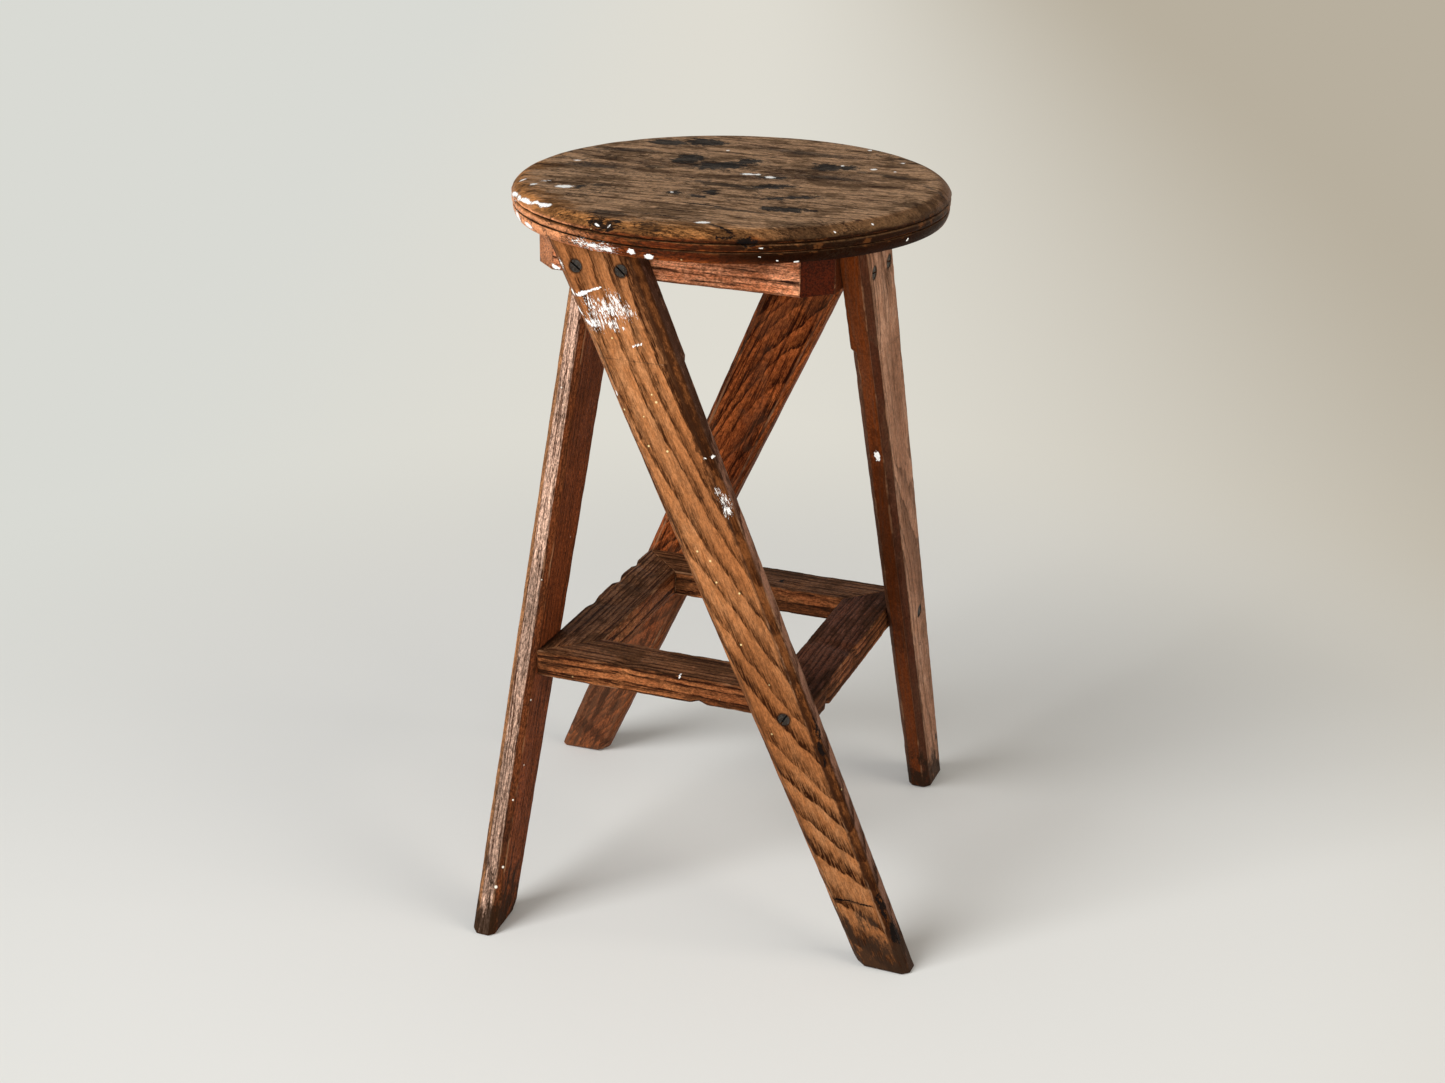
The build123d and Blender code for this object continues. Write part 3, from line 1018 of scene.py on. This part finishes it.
railTones = {
    "late": tone(160, 100, 60), "lateWarm": tone(136, 80, 46), "lateDeep": tone(112, 62, 34),
    "spring": tone(42, 18, 8), "pith": (30, 46, 0), "ring": 4.6, "wave": 12, "lines": 0.55, "dots": 0.3,
}
lowerTop = ((1, 0, 0), 0.8, 0.97, tone(116, 78, 52), 0.9)  # trodden tops, dark and dirty
lowerLooks = {
    "front": {
        "seed": (40, 12, 7),
        "faces": [lowerTop],
        "film": 0.5,
        "paint": [((11, 20.5, 6.3), (2.2, 4, 0.8), -10)],
    },
    "right": {
        "seed": (140, 52, 77),
        "faces": [((1, 0, 0), 0.8, 0.97, tone(88, 50, 36), 0.9)],
        "film": 0.6,
    },
    "back": {
        "seed": (240, 31, 17),
        "faces": [lowerTop],
        "film": 0.5,
        "cracks": [((11.5, -5.2, -17.3), (2.6, 4, 1.8), 0)],
    },
    "left": {
        "seed": (340, 92, 57),
        "faces": [lowerTop],
        "film": 0.6,
    },
}
upperLooks = {
    "front": {
        # painted light: the front rail's tones lighter, for the light and the highlights on its face under
        # the seat
        "seed": (40, 212, 7), "late": tone(230, 154, 112), "lateWarm": tone(198, 119, 78), "coat": 0.08,
        "film": 0.15, "lines": 0.5, "rings": 0.55, "speckle": 0.5,
        # painted light and shade: the cut corner and the end on the right darker, as in shade, and the cut on
        # the left lighter, as in the light
        "faces": [
            ((0, 1, 1), 0.9, 0.98, tone(62, 18, 3), 1), ((0, 0, 1), 0.9, 0.98, tone(56, 20, 5), 0.95),
            ((0, 1, -1), 0.9, 0.98, tone(156, 100, 64), 0.8),
        ],
        "paint": [((-12.9, 21, -99.1), (4, 5, 1.5), -104)],
    },
    "right": {"seed": (140, 252, 77)},
    "back": {"seed": (240, 231, 17)},
    "left": {"seed": (340, 292, 57)},
}
railMiddle = -0.1015  # the front rails, from the stool's axis
lowerHeight = lowerRailShape["top"] - lowerRailShape["height"] / 2
upperHeight = upperRailShape["bottom"] + upperRailShape["height"] / 2
for name, rails, looks, height in (("lowerRail", lowerRails, lowerLooks, lowerHeight),
                                   ("upperRail", upperRails, upperLooks, upperHeight)):
    finishSides(name, rails, railTones, looks, (0, railMiddle, height), (1, 0, 0), (0, 0, 1))
print("rails finished")


# seat: across is back, y up, z along the grain to the right

seatLook = {
    **oakBase,
    "along": (1, 0, 0), "across": (0, 1, 0), "middle": (0, 0, 0.5973), "pith": (24, -58, 0),
    "tilt": (1.2, 3, 0), "ring": 8, "wave": 44, "seed": (5, 70, 300), "lines": 0.3, "dashes": 0.42,
    "flecks": 0.55, "speckle": 0.34, "band": 0.3, "fray": 5, "rings": 0.58, "lineLength": 0.035,
    "late": tone(184, 100, 48), "lateWarm": tone(150, 72, 30), "lateDeep": tone(122, 56, 22),
    "spring": tone(38, 17, 8), "rough": 0.36, "film": 0.6, "groove": 0.8, "edgeWear": 0.1, "edgeDirt": 0.2,
    "bare": tone(224, 140, 76), "plain": (0.1, 0.7, 0.7), "crazing": 0.85, "polish": 0.2,
    # painted light and shade: the edge lighter at the front left where the light falls, and darker towards
    # the right and on the top's right slope, as in shade
    "faces": [
        ((-0.6, 0, -0.8), 0.66, 0.98, tone(240, 162, 112), 0.95),
        ((-0.9, 0, 0.35), 0.8, 0.97, tone(104, 42, 17), 0.9),
        ((-0.5, 0, 0.85), 0.5, 0.85, tone(16, 3, 0), 0.98), ((0, 1, 0), 0.5, 0.85, tone(170, 122, 80), 0.8),
        ((0, 1, 0), 0.9, 0.995, tone(164, 132, 101), 0.82),
        ((0.1, 0.7, 0.7), 0.75, 0.95, tone(84, 61, 42), 0.85),
        ((-0.45, 0.75, 0.5), 0.85, 0.97, tone(98, 72, 48), 0.8),
        ((-0.55, 0.7, -0.45), 0.85, 0.98, tone(176, 116, 66), 0.6),
    ],
    "rim": (146, 168, (-0.75, 0, -0.6), tone(176, 120, 68), 0.75),
    "cracks": onFace(12.7, 4, [
        (-120, 16.7, 38, 0.9, -88), (-96, 12, 22, 1.6, -92), (-140, -2, 26, 0.8, -94),
        (-60, 110, 30, 0.9, -97), (88, -20, 34, 1, -86),
    ]) + [
        ((-155.5, 12.5, 48.7), (10, 4, 1.6), -114),
    ],
    "dots": 0.4,
    "streaks": onFace(12.7, 4, [
        (-4.8, -114.4, 24, 7.5, -84), (-67.5, -86.1, 9, 4.5, -76), (12.3, -73.8, 10, 5.6, -83),
        (56.3, 113.8, 29, 3.6, -100), (30.4, 73.6, 26, 5.4, -90), (-102.8, 41.7, 29, 2.9, -93),
        (111.9, 23.5, 41, 7, -95), (64.6, -116.3, 25, 6, -80), (-27.4, 4.8, 32, 5.2, -95),
    ]) + [
        ((-151.5, 12, -41.3), (16, 4, 9), -97), ((-168, 10, -0.2), (12, 4, 3.4), -91),
        ((25.3, 12, 160.2), (22, 4, 2.6), -137),
    ],
    "stains": onFace(12.7, 4, [
        (104.9, -96.4, 21.2, 11, -86), (118.3, -69, 17.7, 14.2, -95), (49.8, -57.7, 12.4, 18.3, -87),
        (37.5, -24.1, 23.6, 14.2, -61), (60.2, -8.5, 10.6, 10.1, -47), (66.6, 57.3, 11.8, 14.2, -82),
        (71.3, 72.9, 9.7, 10.3, -71), (-17.1, 40.9, 16.5, 6.6, -59), (-54.7, 3.5, 6.7, 8.5, -51),
        (-71.9, -0.9, 7.1, 4.7, -55), (-85.9, 75.3, 21.2, 8, -83), (-47.5, 67, 21.8, 4.7, -55),
        (5, -130, 6, 2.5, -90), (11.9, 29.6, 15.3, 4.7, -78), (-78.2, -98.5, 3.9, 6.1, -84),
        (-66.8, -21.8, 6.5, 6, -77),
    ]) + [
        ((-162.4, 9, 58.5), (6.6, 4, 1.9), -18), ((-159.7, 4.6, 73.9), (7.8, 4, 3.1), -65),
        ((-167.8, 8.8, -38.5), (14, 5, 5), -98),
    ],
    "paint": onFace(12.7, 4, [
        (-82.7, -109.1, 6.8, 4.6, -68), (-85.3, -134.3, 3, 2.2, -21), (8.3, -139.2, 3, 2, -81),
        (-66.9, -24.5, 1.2, 2.1, -66), (-149, 33.2, 5.4, 3, -70), (16.7, 7.8, 5.6, 3.4, -86),
        (18.8, 15.3, 2.2, 2.7, -88), (13, 28.2, 3.8, 3.8, -60), (144.6, 70.4, 1.8, 2.4, -86),
        (106.8, 110.6, 1.3, 2.3, -87), (75, 95.5, 2.5, 2.8, -80), (78.3, 67.8, 1.2, 1.9, -77),
        (72.9, 114.2, 1.4, 1.9, -83), (94.6, -39.3, 1.5, 2, -75),
    ]) + [
        ((-98.9, 5.7, -143.9), (10, 4, 1.2), -140), ((-110.9, 7.5, -134.2), (5.2, 4, 1.1), -142),
        ((-119.9, 8.5, -124.8), (9.8, 4, 1.5), -128), ((-129.4, 10.1, -112.2), (8.2, 4, 1.4), -126),
        ((-136.1, 10.5, -103.1), (5, 4, 1.7), -125), ((-138.9, 11.1, -97.3), (4.6, 4, 2), -107),
        ((-73.5, 12.2, -149.3), (1.8, 4, 3.2), -113), ((-119, 8, 126.4), (0.8, 1.4, 0.8), -61),
        ((-90.5, 9.2, 146.7), (0.8, 1.4, 0.7), -47), ((-58.5, -7.9, 164.8), (1, 1.4, 0.9), -17),
        ((-167.8, 8.4, -42.9), (1.8, 3, 1), -101), ((-168.8, 9.4, -33.5), (2.2, 3, 0.9), -104),
        # the next three lines: white on the lower bead at the front left, paint and partly a painted
        # highlight along the bead
        ((-168.4, -8.4, -46.5), (5, 1.3, 3), -107), ((-171.6, -9.4, -33), (4, 1.6, 3), -101),
        ((-174.3, -8.2, -12.7), (2.8, 2.4, 3), -89), ((-174, -10.7, 1.1), (3.6, 2.2, 3), -86),
        ((-106.7, -9.3, -138), (6.8, 4.5, 3), -142), ((-127.4, -9.6, -119.1), (7, 2.2, 3), -135),
        ((-155.6, -0.2, 82.2), (1.2, 0.5, 2), -62), ((-155.2, -7.1, 81), (0.9, 0.5, 2), -61),
        ((-147.6, -10.3, 92.3), (0.9, 0.5, 2), -56), ((-138.7, -12.2, 103.8), (2.3, 0.7, 2), -51),
    ],
    # the smears on the lower bead at the front left are partly a painted highlight along the bead
    "smears": [
        ((-70.1, 12.7, -130.6), (5.4, 4, 2.1), -54), ((-165.2, -8, -57.1), (11, 3.4, 5), -109),
        ((-169.8, -8.8, -40.7), (15, 3.8, 5), -103),
    ],
}
coverWith(seat, oakFinish("seatOak", seatLook))
print("seat finished")


# screws: darkened steel

screwLook = {
    "steel": tone(60, 56, 52), "brown": tone(46, 37, 30), "bright": tone(120, 116, 110),
    "slot": tone(10, 9, 8),
    "face": 0.1435,  # how far out the heads lie
    "slotDepth": 0.0005,  # painted shade below this, in the slots
}


def steelFinish():
    look = screwLook
    material, shader, place = newFinish("darkSteel")
    cloud = noise(place, scale=420, detail=4, rough=0.65)
    scratch = noise(vectorSums('MULTIPLY', place, (900, 900, 5200)), detail=2)
    colour = mixTone(between(cloud, 0.42, 0.6), look["steel"], look["brown"])
    colour = mixTone(between(scratch, 0.62, 0.74), colour, look["bright"])
    sides = addNode('SeparateXYZ', {0: vectorSums('ABSOLUTE', place)}).outputs
    out = sums('MAXIMUM', sides["X"], sides["Y"])
    # painted shade: the slots darkened
    slotShade = between(out, look["face"], look["face"] - look["slotDepth"])
    colour = mixTone(slotShade, colour, look["slot"])
    height = sums('ADD', cloud, scratch)
    bump = addNode('Bump', {"Height": height, "Strength": 0.3, "Distance": 0.0003})
    setSurface(shader, {"Base Color": colour, "Roughness": between(cloud, 0.3, 0.7, 0.32, 0.6),
                        "Metallic": 0.85, "Normal": bump.outputs[0]})
    return material


darkSteel = steelFinish()
for node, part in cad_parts.items():
    if "screw" in node:
        for slot in part.material_slots:
            slot.material = darkSteel
print("screws finished")


# floor and light

stageLook = {
    "size": 60,
    "floor": tone(227, 228, 226),
    # the backdrop's tones, lighter behind the stool as painted light
    "farLeft": tone(217, 218, 212), "farMiddle": tone(223, 220, 210), "farRight": tone(184, 175, 158),
    "rightward": (0.935, 0.354, 0),
    "leftEnd": -0.9, "rightEnd": 1.3,  # metres to the sides of the stool
    "fade": (0.45, 1.2),  # the floor turns into the backdrop between these distances
    "horizon": (7, 22),
    "roomLight": (1.0, 0.96, 0.90, 1), "roomStrength": 0.23,
    "lamps": {"key": ((-3.2, -4.7, 3.9), 3.9, 440, (1, 1, 1)),  # place, size, power, tint
              "front": ((0.5, -3.6, 0.9), 2.6, 50, (1, 0.98, 0.95)),
              "side": ((3.0, -0.4, 1.3), 2.2, 55, (1, 0.93, 0.84))},
    "aim": (0, 0, 0.35),
}


def seenRays():
    # what the camera, a reflection or clear glass looks at
    path = addNode('LightPath').outputs
    rays = sums('MAXIMUM', path["Is Camera Ray"], path["Is Glossy Ray"])
    return sums('MAXIMUM', rays, path["Is Transmission Ray"])


def addFloor():
    look = stageLook
    bpy.ops.mesh.primitive_plane_add(size=look["size"], location=(0, 0, 0))
    floor = newest("floor")
    paint, shader, place = newFinish("palePaint")
    setSurface(shader, {"Base Color": look["floor"], "Roughness": 0.8, "Specular IOR Level": 0.1})
    sideways = vectorSums('DOT_PRODUCT', place, look["rightward"])
    away = vectorSums('LENGTH', place)
    far = mixTone(between(sideways, look["leftEnd"], 0.0), look["farLeft"], look["farMiddle"])
    far = mixTone(between(sideways, 0.0, look["rightEnd"]), far, look["farRight"])
    far = mixTone(between(away, *look["horizon"]), far, look["farLeft"])
    glow = addNode('Emission', {"Color": far, "Strength": 1.0})
    seen = times(between(away, *look["fade"]), seenRays())
    both = addNode('MixShader', {0: seen, 1: shader.outputs[0], 2: glow.outputs[0]})
    tree.links.new(both.outputs[0], tree.nodes["Material Output"].inputs["Surface"])
    floor.data.materials.append(paint)


def addLight():
    look = stageLook
    world = bpy.data.worlds.new("softRoom")
    scene.world = world
    startTree(world)
    room = tree.nodes["Background"]
    room.inputs["Color"].default_value = look["roomLight"]
    room.inputs["Strength"].default_value = look["roomStrength"]
    sky = addNode('Background', {"Color": look["farLeft"], "Strength": 1.0})
    both = addNode('MixShader', {0: seenRays(), 1: room.outputs[0], 2: sky.outputs[0]})
    tree.links.new(both.outputs[0], tree.nodes["World Output"].inputs["Surface"])
    for name, (place, size, power, tint) in look["lamps"].items():
        bpy.ops.object.light_add(type='AREA', location=place)
        lamp = newest(name + "Light")
        lamp.data.size = size
        lamp.data.energy = power
        lamp.data.color = tint
        lamp.rotation_euler = (Vector(look["aim"]) - Vector(place)).to_track_quat('-Z', 'Y').to_euler()


addFloor()
addLight()
print("floor and light set")
